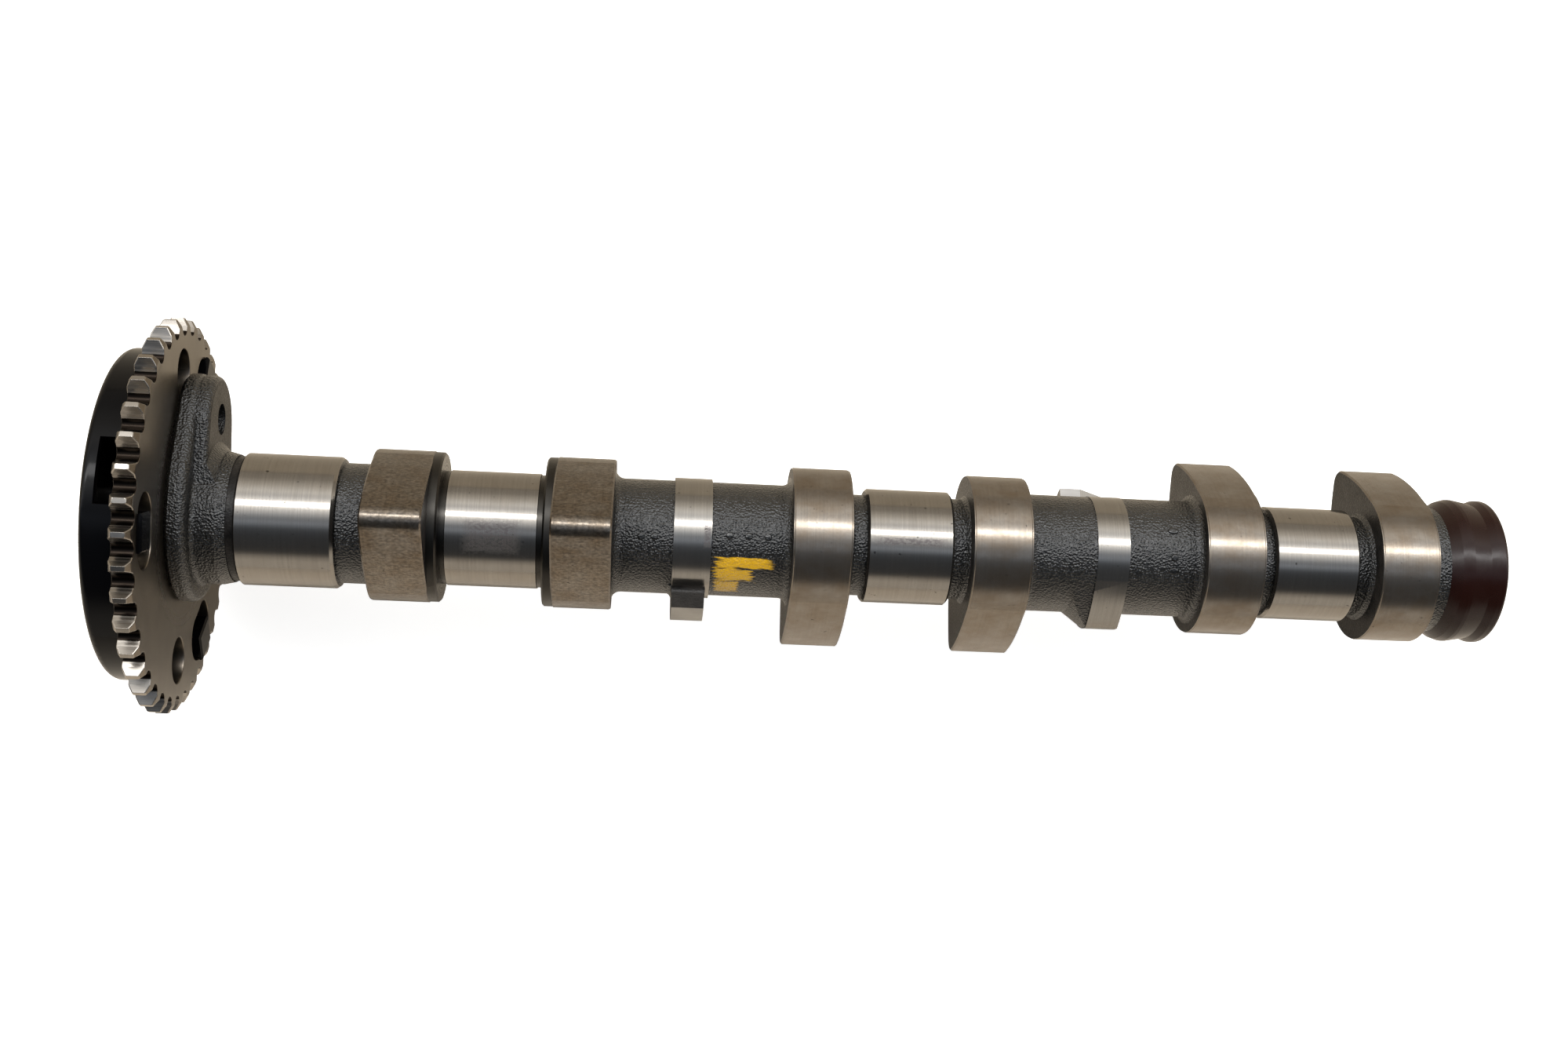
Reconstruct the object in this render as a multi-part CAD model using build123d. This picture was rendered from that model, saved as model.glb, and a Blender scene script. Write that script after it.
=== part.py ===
"""Camshaft with its drive sprocket, separator cup and end seal.

The shaft axis is +X, from the sprocket to the sealed end, and +Z is up. The origin is on the axis,
at the sprocket-side edge of the first journal's ground surface. Angles are in degrees about the
axis, from +Z towards +Y. Lengths are in millimetres.
"""

import os
from math import acos, asin, atan2, cos, degrees, dist, radians, sin, tan

from build123d import *

# First journal, the widest, beside the flange
FIRST_JOURNAL_LENGTH = 20.4
FIRST_JOURNAL_RADIUS = 14.2
GROUND_EDGE = 0.5

# The three inner journals, one for each cylinder, a cylinder pitch apart
THRUST_JOURNAL_X = 53.1
CYLINDER_PITCH = 89.6
CYLINDERS = 3
JOURNAL_RADIUS = 12.5
THRUST_JOURNAL_LENGTH = 19.4
PLAIN_JOURNAL_LENGTH = 18.8

# Thrust shoulders on each side of the second journal, with an undercut beside the journal
THRUST_GAP = 21.9
THRUST_SHOULDER_STEP = 0.15
THRUST_SHOULDER_EDGE = 0.4
UNDERCUT_DEPTH = 0.25

# Cam lobes, one on each side of every inner journal, the profile built from three tangent arcs
LOBE_OFFSET = 19.35
LOBE_WIDTH = 12.7
BASE_RADIUS = 16.4
LIFT = 9.1
NOSE_RADIUS = 3.5
FLANK_START_ANGLE = 66.0
FIRST_NOSE_ANGLE = 4.0
FIRING_ANGLE = -120.0
LOBE_EDGE = 0.35

# Cast shaft between the ground surfaces
FIRST_NECK_RADIUS = 13.0
JOURNAL_NECK_RADIUS = 11.1
FRONT_SHAFT_RADIUS = 12.4
REAR_SHAFT_RADIUS = 12.9
END_NECK_RADIUS = 14.0
CAST_FILLET = 3.2
NECK_CORNER = 0.9

# First trigger ring, a ground ring with one square lug
LUG_RING_X = 91.7
LUG_RING_WIDTH = 8.1
RING_RADIUS = 13.05
LUG_RADIUS = 18.1
LUG_ANGLE = -89.0
LUG_SPAN_ANGLE = 68.8
LUG_INSET = 0.9
LUG_DRAFT = 0.15
LUG_ROOT_FILLET = 1.4
LUG_FOOT_DEPTH = 0.1

# Second trigger ring, a ground half-moon that rises from the low ring to a high sector. The sector
# ends at a cast stop, whose crown falls away from the ramp.
MOON_RING_X = 183.25
MOON_RING_WIDTH = 7.05
MOON_RADIUS = 16.4
MOON_LOW_ANGLE = 24.0
MOON_FLANK_START_ANGLE = 47.5
MOON_FLANK_RADIUS = 31.0
MOON_STOP_ANGLE = 91.6
MOON_STOP_SPAN_ANGLE = 14.4
MOON_STOP_FALL = 2.6
MOON_CAST_STEP = 0.15
MOON_CAST_RAMP = 4.6

# Flange that carries the sprocket, cast with one ear
FLANGE_THICKNESS = 4.3
FLANGE_RADIUS = 18.3
FLANGE_SHOULDER_RADIUS = 17.8
FLANGE_SHOULDER_OFFSET = 4.0
FLANGE_RIM = 1.9
FLANGE_BACK_EDGE = 0.8
EAR_ANGLE = 90.0
EAR_OFFSET = 19.4
EAR_RADIUS = 11.3
EAR_THICKNESS = 6.9
EAR_BOSS_STEP = 0.3
EAR_ROOT_RADIUS = 13.0
EAR_RIM = 1.4
EAR_BLEND = 2.0
DOWEL_OFFSET = 21.1
HUB_LENGTH = 11.4
HUB_RADIUS = 14.3
HUB_END_RADIUS = 13.75
HUB_FILLET = 2.0
HUB_STRAIGHT = 4.9
GROOVE_DEPTH = 0.75
GROOVE_WIDTH = 1.6

# Sprocket for roller chain
TEETH = 40
CHAIN_PITCH = 6.35
ROLLER_SEAT_RADIUS = 1.72
SEAT_HALF_ANGLE = 60.0
TIP_HEIGHT = 1.83
TIP_WIDTH = 1.1
SPROCKET_THICKNESS = 4.5
RIM_CHAMFER_AXIAL = 0.9
RIM_CHAMFER_RADIAL = 1.6
HOLE_CIRCLE = 31.0
HOLE_RADIUS = 5.0
HOLE_PHASE_ANGLE = -4.8
HOLE_SPREAD_ANGLE = 84.0
SLOT_CIRCLE = 31.5
SLOT_HALF_ANGLE = 5.0
SLOTS = 3

# Fastening: a spigot in the sprocket's bore, one bolt with a washer, and one dowel in the ear
SPIGOT_RADIUS = 10.5
SPIGOT_SHORTFALL = 0.5
LOCATING_CLEARANCE = 0.02
BOLT_RADIUS = 5.0
THREAD_CLEARANCE = 0.05
BOLT_LENGTH = 32.0
BOLT_HOLE_SPARE = 4.0
BOLT_HEAD_FLATS = 16.0
BOLT_HEAD_HEIGHT = 3.4
BOLT_FLANGE_RADIUS = 10.5
BOLT_FLANGE_HEIGHT = 1.2
BOLT_EDGE = 0.5
DRILL_ANGLE = 118.0
WASHER_RADIUS = 13.5
WASHER_THICKNESS = 2.5
WASHER_CLEARANCE = 0.4
DOWEL_RADIUS = 3.35
DOWEL_RECESS = 2.2
DOWEL_EDGE = 0.5

# Separator cup, snapped to the sprocket by three hooks
CUP_INSET = 1.0
CUP_DEPTH = 7.5
CUP_WALL = 2.0
CUP_EDGE = 1.6
CUP_MOUTH_RADIUS = 16.0
CUP_COLLAR_WALL = 1.6
CUP_RIBS = 6
CUP_RIB_THICKNESS = 1.4
CUP_RIB_ANGLE = 30.0
CUP_RIB_GAP = 1.2
WINDOW_ANGLE = 15.0
WINDOW_SPAN_ANGLE = 22.4
WINDOW_DEPTH = 4.6
HOOK_WIDTH = 7.8
HOOK_THICKNESS = 5.9
HOOK_SLOT_CLEARANCE = 0.2
HOOK_CATCH = 0.6
HOOK_HEAD = 0.9
HOOK_SEAT_CLEARANCE = 0.05
HOOK_HEAD_EDGE = 0.4

# End seal, moulded with two ribs, on a turned spigot
SEAL_LENGTH = 12.2
SEAL_SPIGOT_RADIUS = 12.0
SEAL_ROOT_RADIUS = 14.0
SEAL_GROOVE_RADIUS = 15.25
SEAL_RIB_RADIUS = 15.95
SEAL_RIB_LAND = 0.8
SEAL_FIRST_RIB = 4.1
SEAL_SECOND_RIB = 10.6
SEAL_GROOVE = 8.5
SEAL_EDGE = 1.1
SEAL_SWELL = 0.45
SEAL_SOFTNESS = 0.6
END_NECK_LENGTH = 3.5
END_RECESS = 1.0
END_CHAMFER = 0.8
CENTRE_HOLE_RADIUS = 2.6
CENTRE_HOLE_RIM = 0.4
CENTRE_HOLE_ANGLE = 60.0

# Places along the axis that follow from the sizes above
SEAT_X = -HUB_LENGTH - GROOVE_WIDTH
SPROCKET_X = SEAT_X - SPROCKET_THICKNESS
CUP_X = SPROCKET_X - CUP_DEPTH
WASHER_X = SPROCKET_X - WASHER_THICKNESS
DOWEL_END_X = SEAT_X + EAR_THICKNESS - DOWEL_RECESS
SLOT_OUTER_RADIUS = SLOT_CIRCLE + HOLE_RADIUS
CUP_RADIUS = SLOT_OUTER_RADIUS - CUP_INSET
PITCH_RADIUS = CHAIN_PITCH / (2 * sin(radians(180 / TEETH)))
TIP_RADIUS = PITCH_RADIUS + TIP_HEIGHT
LAST_JOURNAL_X = THRUST_JOURNAL_X + CYLINDER_PITCH * (CYLINDERS - 1)
SEAL_X = LAST_JOURNAL_X + LOBE_OFFSET + LOBE_WIDTH / 2 + END_NECK_LENGTH
SHAFT_END_X = SEAL_X + SEAL_LENGTH - END_RECESS
CORE_RADIUS = BASE_RADIUS - THRUST_SHOULDER_STEP
OVERRUN = 1.0

# Kinds of corner of a turned outline
ROUND = "round"
BEVEL = "bevel"


def polar(radius, angle, centre=(0, 0)):
    """A point of a face at a radius and an angle about a centre."""
    return centre[0] + radius * sin(radians(angle)), centre[1] + radius * cos(radians(angle))


def arc(radius, angle_from, angle_to, centre=(0, 0)):
    """A circular arc about a centre, from one angle to another."""
    middle = (angle_from + angle_to) / 2
    return ThreePointArc(*(polar(radius, angle, centre) for angle in (angle_from, middle, angle_to)))


def toward(here, there, length):
    """The point at a length from here on the way there."""
    share = length / dist(here, there)
    return here[0] + (there[0] - here[0]) * share, here[1] + (there[1] - here[1]) * share


def turned(*stations):
    """A solid of revolution about the axis.

    A station is x and radius, then for a corner that isn't sharp its kind, ROUND or BEVEL, and its size.
    """
    loop = [(stations[0][0], 0), *[station[:2] for station in stations], (stations[-1][0], 0)]
    points = [loop[0]]
    corners = []
    for before, here, after, station in zip(loop, loop[1:], loop[2:], stations):
        kind, size = station[2:] or (ROUND, 0)
        size = min(size, dist(before, here) / 2, dist(here, after) / 2)
        if kind == BEVEL:
            points += [toward(here, before, size), toward(here, after, size)]
            corners += [0, 0]
        else:
            points.append(here)
            corners.append(size)
    points.append(loop[-1])
    outline = FilletPolyline(*points, radius=corners) + Line(points[-1], points[0])
    return revolve(make_face(outline), Axis.X)


def cylinder(x_from, x_to, radius):
    """A plain cylinder on the axis."""
    return prism(Circle(radius), x_from, x_to)


def prism(face, x_from, x_to):
    """A face drawn with Y to the right and Z up, extruded along the axis."""
    return extrude(Plane.YZ.offset(x_from) * face, amount=x_to - x_from, dir=(1, 0, 0))


def spun(shape, angle):
    """The shape turned about the axis, from +Z towards +Y."""
    return Rot(X=-angle) * shape


def end_edges(solid, side):
    """The edges of the solid's end face, the low one for side 0 and the high one for side -1."""
    return solid.faces().filter_by(Axis.X).sort_by(Axis.X)[side].edges()


def mirrored_face(half):
    """A face from the right half of its outline, drawn from bottom to top, and its mirror image."""
    return make_face(half + [edge.mirror(Plane.YZ) for edge in half])


def lobe_face():
    """Base circle, two flank arcs and a nose arc, all tangent, with the nose at the top."""
    nose_centre = (0, BASE_RADIUS + LIFT - NOSE_RADIUS)
    reach = BASE_RADIUS - NOSE_RADIUS
    spare = reach - nose_centre[1] * cos(radians(FLANK_START_ANGLE))
    shift = (nose_centre[1] ** 2 - reach**2) / (2 * spare)
    flank_centre = polar(-shift, FLANK_START_ANGLE)
    flank_end = degrees(atan2(nose_centre[0] - flank_centre[0], nose_centre[1] - flank_centre[1]))
    return mirrored_face(
        [
            arc(BASE_RADIUS, 180, FLANK_START_ANGLE),
            arc(BASE_RADIUS + shift, FLANK_START_ANGLE, flank_end, flank_centre),
            arc(NOSE_RADIUS, flank_end, 0, nose_centre),
        ]
    )


def moon_face(low_radius, high_radius):
    """A low arc at the top, a tangent flank up to the high arc on the left, and a step on the right."""
    start = MOON_FLANK_START_ANGLE
    shift = MOON_FLANK_RADIUS - low_radius
    centre = polar(-shift, -start)
    opposite = (shift**2 + high_radius**2 - MOON_FLANK_RADIUS**2) / (2 * shift * high_radius)
    meets = start + 180 - degrees(acos(opposite))
    end = polar(high_radius, -meets)
    flank_end = degrees(atan2(end[0] - centre[0], end[1] - centre[1]))
    step = MOON_STOP_ANGLE + MOON_STOP_SPAN_ANGLE
    return make_face(
        [
            arc(low_radius, -start, step),
            Line(polar(low_radius, step), polar(high_radius, step)),
            arc(high_radius, step, 360 - meets),
            arc(MOON_FLANK_RADIUS, flank_end, -start, centre),
        ]
    )


def obround_face(circle, half_sweep, radius):
    """A slot along an arc about the axis, centred at the top, with round ends."""
    outer = arc(circle + radius, -half_sweep, half_sweep)
    inner = arc(circle - radius, half_sweep, -half_sweep)
    right = polar(circle, half_sweep)
    left = polar(circle, -half_sweep)
    right_end = arc(radius, half_sweep, half_sweep + 180, right)
    left_end = arc(radius, 180 - half_sweep, 360 - half_sweep, left)
    return make_face([outer, right_end, inner, left_end])


def sector_face(inner, outer, span):
    """A ring sector centred at the top."""
    half = span / 2
    return make_face(
        [
            arc(outer, -half, half),
            Line(polar(outer, half), polar(inner, half)),
            arc(inner, half, -half),
            Line(polar(inner, -half), polar(outer, -half)),
        ]
    )


def journal_stations(centre):
    """The ground journal between its two lobes, with shoulders or cast necks beside it."""
    inner = LOBE_OFFSET - LOBE_WIDTH / 2
    if centre == THRUST_JOURNAL_X:
        half = THRUST_JOURNAL_LENGTH / 2
        face = THRUST_GAP / 2
        groove = JOURNAL_RADIUS - UNDERCUT_DEPTH
        side = [(face, CORE_RADIUS, BEVEL, THRUST_SHOULDER_EDGE), (face, groove)]
    else:
        half = PLAIN_JOURNAL_LENGTH / 2
        groove = JOURNAL_NECK_RADIUS
        side = [(inner, CORE_RADIUS), (inner, groove, BEVEL, NECK_CORNER)]
    side += [(half, groove), (half, JOURNAL_RADIUS, BEVEL, GROUND_EDGE)]
    left = [(centre - x, *rest) for x, *rest in side]
    right = [(centre + x, *rest) for x, *rest in reversed(side)]
    return left + right


def shaft_stations():
    """The turned and cast outline of the shaft, without lobes, rings and flange."""
    plate_x = SEAT_X + FLANGE_THICKNESS
    groove_radius = FIRST_JOURNAL_RADIUS - GROOVE_DEPTH
    stations = [
        (SEAT_X - SPROCKET_THICKNESS + SPIGOT_SHORTFALL, SPIGOT_RADIUS, BEVEL, GROUND_EDGE),
        (SEAT_X, SPIGOT_RADIUS),
        (SEAT_X, HUB_RADIUS + HUB_FILLET),
        (plate_x, HUB_RADIUS + HUB_FILLET),
        (plate_x, HUB_RADIUS, ROUND, HUB_FILLET),
        (plate_x + HUB_STRAIGHT, HUB_RADIUS, ROUND, HUB_FILLET),
        (-GROOVE_WIDTH, HUB_END_RADIUS),
        (-GROOVE_WIDTH, groove_radius),
        (0, groove_radius),
        (0, FIRST_JOURNAL_RADIUS, BEVEL, GROUND_EDGE),
        (FIRST_JOURNAL_LENGTH, FIRST_JOURNAL_RADIUS, BEVEL, GROUND_EDGE),
        (FIRST_JOURNAL_LENGTH + GROUND_EDGE, FIRST_NECK_RADIUS),
    ]
    outer = LOBE_OFFSET + LOBE_WIDTH / 2
    necks = [(FIRST_NECK_RADIUS, BEVEL, NECK_CORNER), (FRONT_SHAFT_RADIUS, ROUND, CAST_FILLET)]
    necks += [(REAR_SHAFT_RADIUS, ROUND, CAST_FILLET), (END_NECK_RADIUS, BEVEL, NECK_CORNER)]
    for cylinder_number in range(CYLINDERS):
        centre = THRUST_JOURNAL_X + CYLINDER_PITCH * cylinder_number
        before = necks[cylinder_number]
        after = necks[cylinder_number + 1]
        stations += [(centre - outer, *before), (centre - outer, CORE_RADIUS)]
        stations += journal_stations(centre)
        stations += [(centre + outer, CORE_RADIUS), (centre + outer, *after)]
    stations += [
        (SEAL_X, END_NECK_RADIUS),
        (SEAL_X, SEAL_SPIGOT_RADIUS),
        (SHAFT_END_X, SEAL_SPIGOT_RADIUS, BEVEL, END_CHAMFER),
    ]
    return stations


def lobe(centre, angle):
    """One ground cam lobe with softened edges."""
    blank = prism(lobe_face(), centre - LOBE_WIDTH / 2, centre + LOBE_WIDTH / 2)
    blank = chamfer(end_edges(blank, 0) + end_edges(blank, -1), LOBE_EDGE)
    return spun(blank, angle)


def lug_ring():
    """The first trigger ring and its square lug, which flares into the ring and the cast shaft."""
    start = LUG_RING_X
    end = LUG_RING_X + LUG_RING_WIDTH
    side = end - LUG_INSET
    foot = FRONT_SHAFT_RADIUS - LUG_FOOT_DEPTH
    run = 2 * LUG_ROOT_FILLET
    sector = sector_face(foot, LUG_RADIUS, LUG_SPAN_ANGLE)
    section = Circle(RING_RADIUS) + sector
    tip_height = LUG_RADIUS * cos(radians(LUG_SPAN_ANGLE / 2))
    roots = section.vertices().filter_by(lambda corner: corner.Y < tip_height - OVERRUN)
    section = fillet(roots, LUG_ROOT_FILLET)
    skirt = turned(
        (start - run, foot),
        (start, foot, ROUND, LUG_ROOT_FILLET),
        (start + LUG_DRAFT, LUG_RADIUS),
        (side - LUG_DRAFT, LUG_RADIUS),
        (side, foot, ROUND, LUG_ROOT_FILLET),
        (side + run, foot),
    )
    lug = prism(section, start, side) & skirt
    flare = prism(sector, start - run, side + run) & skirt
    return cylinder(start, end, RING_RADIUS) + spun(lug + flare, LUG_ANGLE)


def moon_ring():
    """The second trigger ring: a ground half-moon with a cast ramp on its near side and a stop."""
    start = MOON_RING_X
    end = MOON_RING_X + MOON_RING_WIDTH
    ramp_x = start - MOON_CAST_RAMP
    cast_radius = MOON_RADIUS - MOON_CAST_STEP
    sunk_radius = REAR_SHAFT_RADIUS - MOON_CAST_STEP
    ground = prism(moon_face(RING_RADIUS, MOON_RADIUS), start, end)
    cone = turned((ramp_x, REAR_SHAFT_RADIUS), (start, cast_radius))
    cast = prism(moon_face(sunk_radius, cast_radius), ramp_x, start) & cone
    crown = turned((ramp_x, cast_radius), (start, cast_radius), (end, cast_radius - MOON_STOP_FALL))
    stop = prism(sector_face(sunk_radius, MOON_RADIUS, MOON_STOP_SPAN_ANGLE), ramp_x, end) & crown
    stop = spun(stop, MOON_STOP_ANGLE + MOON_STOP_SPAN_ANGLE / 2)
    return spun(ground + cast + stop, MOON_LOW_ANGLE)


def flange():
    """The cast flange: a rounded plate with one thick ear, drawn with the ear at the top."""
    body = Circle(FLANGE_RADIUS) + Pos(0, FLANGE_SHOULDER_OFFSET) * Circle(FLANGE_SHOULDER_RADIUS)
    tip = Pos(0, EAR_OFFSET) * Circle(EAR_RADIUS)
    outline = make_hull(body.edges() + tip.edges())
    plate = prism(outline, SEAT_X, SEAT_X + FLANGE_THICKNESS)
    plate = fillet(end_edges(plate, -1), FLANGE_RIM)
    plate = chamfer(end_edges(plate, 0), FLANGE_BACK_EDGE)
    boss_tip = Pos(0, EAR_OFFSET) * Circle(EAR_RADIUS - EAR_BOSS_STEP)
    boss_outline = make_hull(boss_tip.edges() + Circle(EAR_ROOT_RADIUS).edges())
    face_x = SEAT_X + EAR_THICKNESS
    boss = prism(boss_outline, SEAT_X + FLANGE_BACK_EDGE, face_x)
    boss = fillet(end_edges(boss, -1), EAR_RIM)
    blend_radius = HUB_RADIUS + EAR_BLEND
    blend = turned((SEAT_X, blend_radius), (face_x, blend_radius), (face_x + EAR_BLEND, HUB_RADIUS))
    boss += blend & prism(boss_outline, SEAT_X + FLANGE_BACK_EDGE, face_x + EAR_BLEND)
    return spun(plate + boss, EAR_ANGLE)


def dowel_place(shape):
    """The shape moved from the axis to the dowel's place in the ear."""
    return spun(Pos(Z=DOWEL_OFFSET) * shape, EAR_ANGLE)


def drill(x_mouth, radius, depth, point_angle, side):
    """A drilled hole from a face, its point towards side -1 or +1 along the axis."""
    wall_end = x_mouth + side * depth
    tip = wall_end + side * radius / tan(radians(point_angle / 2))
    outline = Polyline((x_mouth, 0), (x_mouth, radius), (wall_end, radius), (tip, 0), close=True)
    return revolve(make_face(outline), Axis.X)


def make_camshaft():
    """The cast and ground shaft in one piece, with lobes, trigger rings and flange."""
    shaft = turned(*shaft_stations())
    for cylinder_number in range(CYLINDERS):
        centre = THRUST_JOURNAL_X + CYLINDER_PITCH * cylinder_number
        for side in (-1, 1):
            angle = FIRST_NOSE_ANGLE + FIRING_ANGLE * cylinder_number
            shaft += lobe(centre + side * LOBE_OFFSET, angle)
    shaft += lug_ring()
    shaft += moon_ring()
    shaft += flange()
    spigot_x = SEAT_X - SPROCKET_THICKNESS + SPIGOT_SHORTFALL
    hole_depth = WASHER_X + BOLT_LENGTH + BOLT_HOLE_SPARE - spigot_x
    shaft -= drill(spigot_x, BOLT_RADIUS + THREAD_CLEARANCE, hole_depth, DRILL_ANGLE, 1)
    shaft -= drill(SHAFT_END_X, CENTRE_HOLE_RADIUS, CENTRE_HOLE_RIM, CENTRE_HOLE_ANGLE, -1)
    through = (SEAT_X - OVERRUN, SEAT_X + EAR_THICKNESS + OVERRUN)
    dowel_hole = cylinder(*through, DOWEL_RADIUS + LOCATING_CLEARANCE)
    return shaft - dowel_place(dowel_hole)


def tooth_gap():
    """The space between two teeth: a roller seat and two flanks, centred at the top."""
    seat_centre = (0, PITCH_RADIUS)
    seat_angle = 180 - SEAT_HALF_ANGLE
    seat_end = polar(ROLLER_SEAT_RADIUS, seat_angle, seat_centre)
    tip_angle = 180 / TEETH - degrees(asin(TIP_WIDTH / 2 / TIP_RADIUS))
    tip = polar(TIP_RADIUS, tip_angle)
    above = polar(TIP_RADIUS + OVERRUN, tip_angle)
    return mirrored_face(
        [
            arc(ROLLER_SEAT_RADIUS, 180, seat_angle, seat_centre),
            TangentArc(seat_end, tip, tangent=polar(1, 90 - SEAT_HALF_ANGLE)),
            Line(tip, above),
            Line(above, (0, above[1])),
        ]
    )


def make_sprocket():
    """The sprocket: a chamfered disc with roller-chain teeth, holes, slots and a bore."""
    left, right = SPROCKET_X, SEAT_X
    rim = TIP_RADIUS - RIM_CHAMFER_RADIAL
    stations = [
        (left, rim),
        (left + RIM_CHAMFER_AXIAL, TIP_RADIUS),
        (right - RIM_CHAMFER_AXIAL, TIP_RADIUS),
        (right, rim),
    ]
    through = (left - OVERRUN, right + OVERRUN)
    gap = prism(tooth_gap(), *through)
    round_hole = Pos(Z=HOLE_CIRCLE) * cylinder(*through, HOLE_RADIUS)
    slot = prism(obround_face(SLOT_CIRCLE, SLOT_HALF_ANGLE, HOLE_RADIUS), *through)
    cuts = [spun(gap, 360 / TEETH * number) for number in range(TEETH)]
    cuts += [spun(round_hole, HOLE_PHASE_ANGLE + side * HOLE_SPREAD_ANGLE) for side in (-1, 1)]
    cuts += [spun(slot, HOLE_PHASE_ANGLE + 360 / SLOTS * number) for number in range(SLOTS)]
    cuts.append(cylinder(*through, SPIGOT_RADIUS + LOCATING_CLEARANCE))
    cuts.append(dowel_place(cylinder(*through, DOWEL_RADIUS + LOCATING_CLEARANCE)))
    return turned(*stations) - cuts


def hook():
    """One snap hook at the top: an arm through the slot and a head that catches its outer edge."""
    inner = SLOT_OUTER_RADIUS - HOOK_THICKNESS
    head_x = SEAT_X + HOOK_SEAT_CLEARANCE

    def bar(outer):
        height = outer - inner
        block = Pos(0, inner + height / 2) * Rectangle(HOOK_WIDTH, height)
        return block & Circle(outer)

    root = prism(bar(CUP_RADIUS - CUP_WALL / 2), CUP_X + CUP_WALL / 2, SPROCKET_X)
    arm = prism(bar(SLOT_OUTER_RADIUS - HOOK_SLOT_CLEARANCE), SPROCKET_X + HOOK_SEAT_CLEARANCE, head_x)
    foot = prism(bar(CUP_RADIUS - CUP_EDGE), SPROCKET_X, SPROCKET_X + HOOK_SEAT_CLEARANCE)
    head = prism(bar(SLOT_OUTER_RADIUS + HOOK_CATCH), head_x, head_x + HOOK_HEAD)
    head = chamfer(end_edges(head, -1), HOOK_HEAD_EDGE)
    return root + foot + arm + head


def make_separator_cup():
    """The moulded cup: wall, end wall with a mouth, collar, ribs, windows and hooks."""
    inside = CUP_RADIUS - CUP_WALL
    floor_x = CUP_X + CUP_WALL
    rib_end = SPROCKET_X - CUP_RIB_GAP
    collar_radius = CUP_MOUTH_RADIUS + CUP_COLLAR_WALL
    cup = turned((CUP_X, CUP_RADIUS, ROUND, CUP_EDGE), (SPROCKET_X, CUP_RADIUS))
    cup -= turned((floor_x, inside, ROUND, CUP_EDGE / 2), (SPROCKET_X, inside))
    cup += cylinder(CUP_X, rib_end, collar_radius)
    cup -= cylinder(CUP_X, rib_end, CUP_MOUTH_RADIUS)
    rib_height = inside - collar_radius + CUP_WALL / 2
    rib = Pos(0, collar_radius + rib_height / 2 - CUP_WALL / 4) * Rectangle(CUP_RIB_THICKNESS, rib_height)
    rib_solid = prism(rib, CUP_X + CUP_WALL / 2, rib_end)
    for number in range(CUP_RIBS):
        cup += spun(rib_solid, CUP_RIB_ANGLE + 360 / CUP_RIBS * number)
    window_face = sector_face(inside - OVERRUN, CUP_RADIUS + OVERRUN, WINDOW_SPAN_ANGLE)
    window = prism(window_face, SPROCKET_X - WINDOW_DEPTH, SPROCKET_X)
    for number in range(SLOTS):
        cup -= spun(window, WINDOW_ANGLE + 360 / SLOTS * number)
        cup += spun(hook(), HOLE_PHASE_ANGLE + 360 / SLOTS * number)
    return cup


def make_washer():
    """The plain washer between the bolt and the sprocket."""
    disc = cylinder(WASHER_X, SPROCKET_X, WASHER_RADIUS)
    disc = chamfer(end_edges(disc, 0), BOLT_EDGE)
    return disc - cylinder(WASHER_X, SPROCKET_X, BOLT_RADIUS + WASHER_CLEARANCE)


def make_bolt():
    """The low-headed hexagon bolt with its collar and shank."""
    flange_x = WASHER_X - BOLT_FLANGE_HEIGHT
    head_x = flange_x - BOLT_HEAD_HEIGHT
    hexagon = RegularPolygon(BOLT_HEAD_FLATS / 2, 6, major_radius=False)
    corner = BOLT_HEAD_FLATS / 2 / cos(radians(30))
    crown = turned((head_x, corner, BEVEL, BOLT_EDGE), (flange_x, corner))
    head = prism(hexagon, head_x, flange_x) & crown
    collar = turned((flange_x, BOLT_FLANGE_RADIUS, BEVEL, BOLT_EDGE), (WASHER_X, BOLT_FLANGE_RADIUS))
    shank = turned((WASHER_X, BOLT_RADIUS), (WASHER_X + BOLT_LENGTH, BOLT_RADIUS, BEVEL, BOLT_EDGE))
    return head + collar + shank


def make_dowel():
    """The dowel that fixes the sprocket's angle on the flange."""
    start = SPROCKET_X + SPIGOT_SHORTFALL
    pin = turned((start, DOWEL_RADIUS, BEVEL, DOWEL_EDGE), (DOWEL_END_X, DOWEL_RADIUS, BEVEL, DOWEL_EDGE))
    return dowel_place(pin)


def make_end_seal():
    """The moulded seal with two ribs and a groove between them."""
    land = SEAL_RIB_LAND / 2
    swell_radius = (SEAL_ROOT_RADIUS + SEAL_RIB_RADIUS) / 2 + SEAL_SWELL
    stations = [
        (SEAL_X, SEAL_ROOT_RADIUS),
        (SEAL_X + SEAL_FIRST_RIB / 2, swell_radius),
        (SEAL_X + SEAL_FIRST_RIB - land, SEAL_RIB_RADIUS, ROUND, SEAL_SOFTNESS),
        (SEAL_X + SEAL_FIRST_RIB + land, SEAL_RIB_RADIUS, ROUND, SEAL_SOFTNESS),
        (SEAL_X + SEAL_GROOVE, SEAL_GROOVE_RADIUS),
        (SEAL_X + SEAL_SECOND_RIB - land, SEAL_RIB_RADIUS, ROUND, SEAL_SOFTNESS),
        (SEAL_X + SEAL_LENGTH, SEAL_RIB_RADIUS, ROUND, SEAL_EDGE),
    ]
    bore = cylinder(SEAL_X, SEAL_X + SEAL_LENGTH, SEAL_SPIGOT_RADIUS + LOCATING_CLEARANCE)
    return turned(*stations) - bore


PIECES = {
    "camshaft": make_camshaft,
    "drive_sprocket": make_sprocket,
    "separator_cup": make_separator_cup,
    "sprocket_bolt": make_bolt,
    "bolt_washer": make_washer,
    "sprocket_dowel": make_dowel,
    "end_seal": make_end_seal,
}

os.makedirs("parts", exist_ok=True)
for name, make in PIECES.items():
    export_step(make(), f"parts/{name}.step")
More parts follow.
